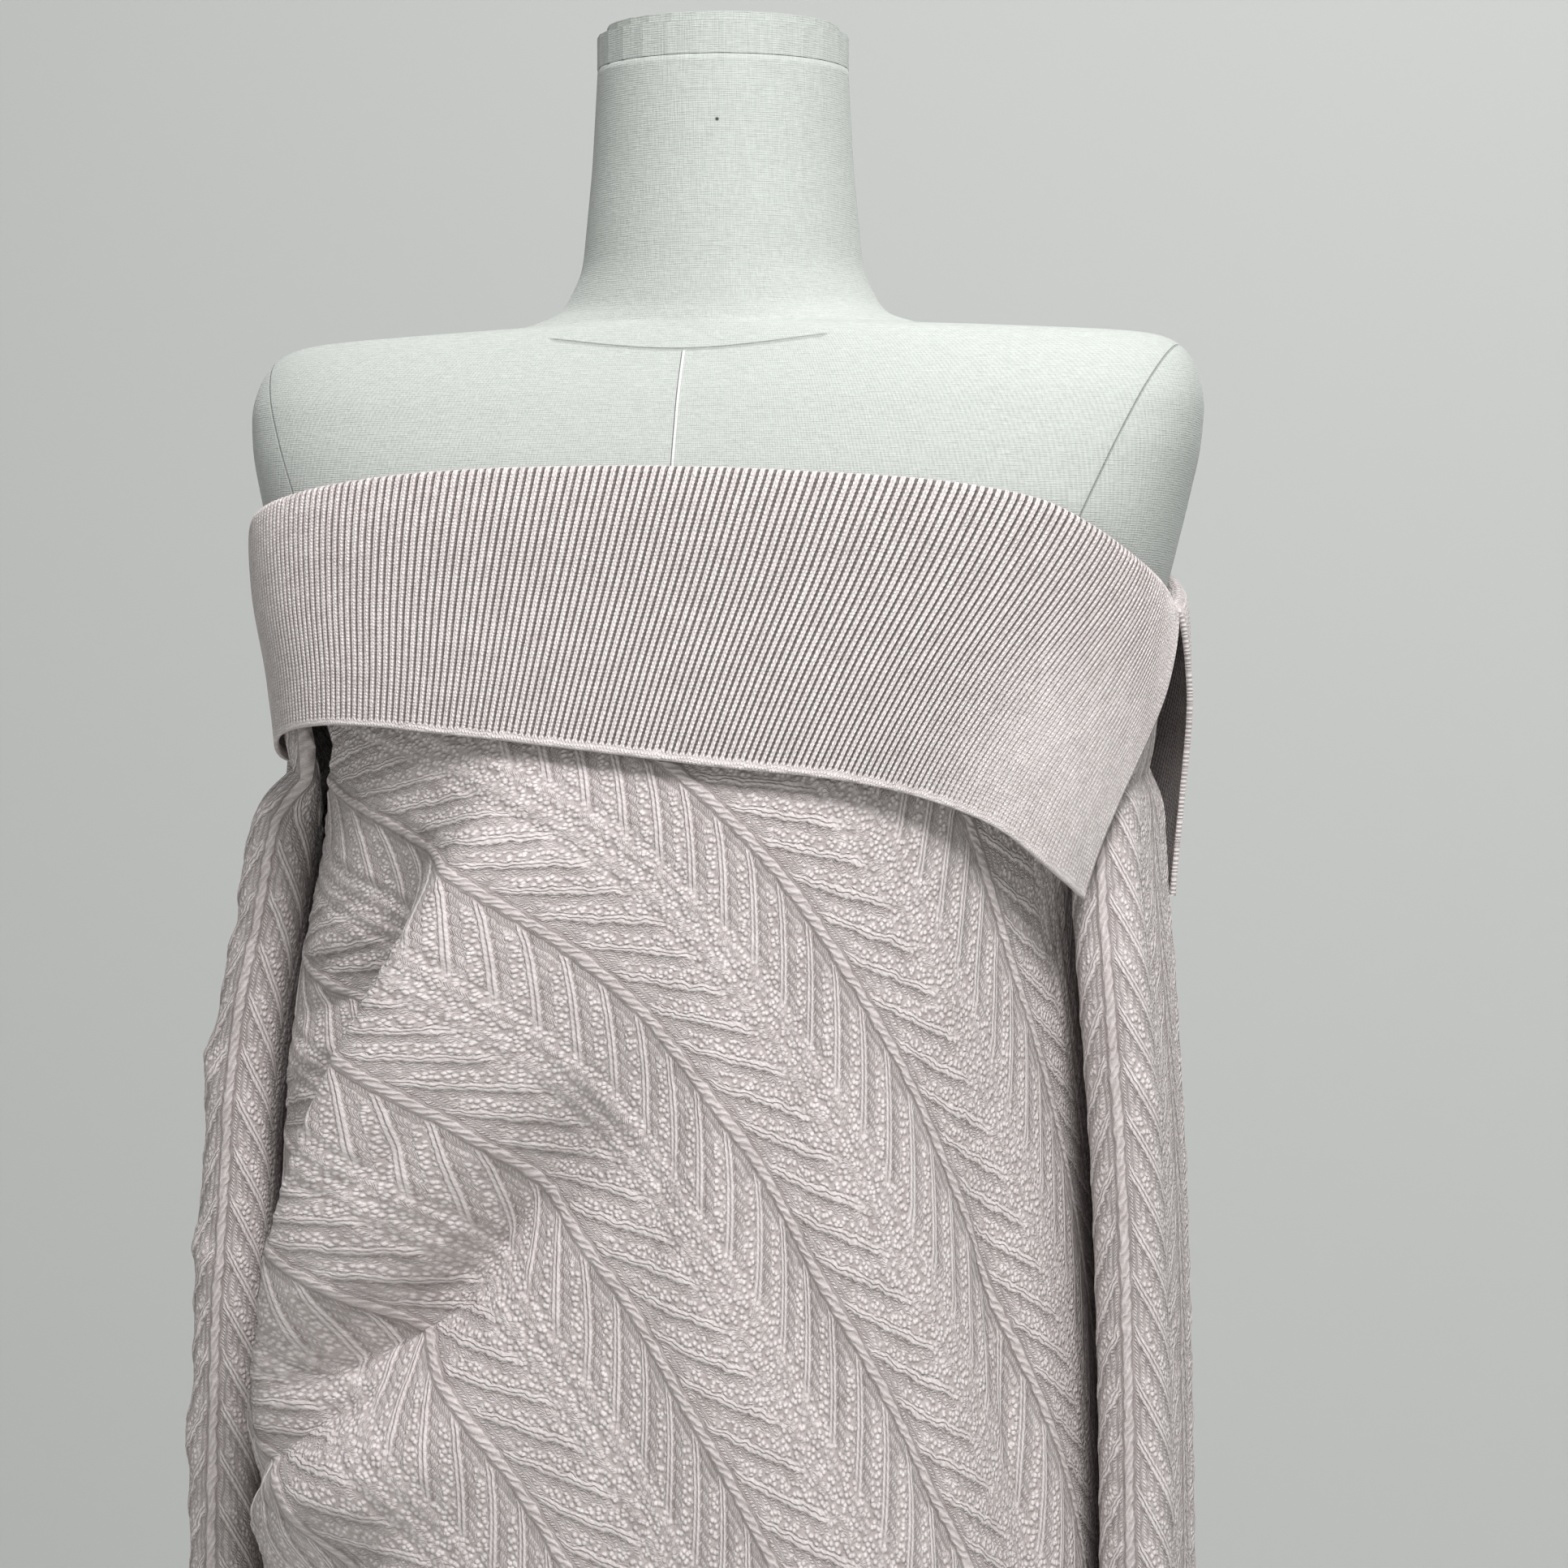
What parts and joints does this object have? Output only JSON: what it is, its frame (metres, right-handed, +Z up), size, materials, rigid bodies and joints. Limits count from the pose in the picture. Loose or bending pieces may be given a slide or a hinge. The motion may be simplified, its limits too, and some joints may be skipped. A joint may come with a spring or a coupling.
{
  "type": "off-shoulder sweater on dress form",
  "caption": "Cable knit off-shoulder sweater with a wide ribbed fold-over collar and loose sleeves, worn by a limbless dress form on a round stand.",
  "frame": {"origin": "centre of the stand's underside", "axes": "+Z up, the garment's front faces -Y, +X is the form's left side"},
  "size_m": [0.421, 0.33, 0.977],
  "materials": {
    "knit": "fine fluffy knit",
    "rib_knit": "ribbed knit",
    "linen": "plain woven linen",
    "stand_metal": "satin"
  },
  "bodies": {
    "root": {"front_body": "knit", "back_body": "knit", "sleeve_left": "knit", "sleeve_right": "knit", "collar_front": "rib_knit", "collar_back": "rib_knit", "dress_form": "linen", "neck_cap": "linen", "stand_post": "stand_metal", "stand_base": "stand_metal"}
  },
  "joints": []
}
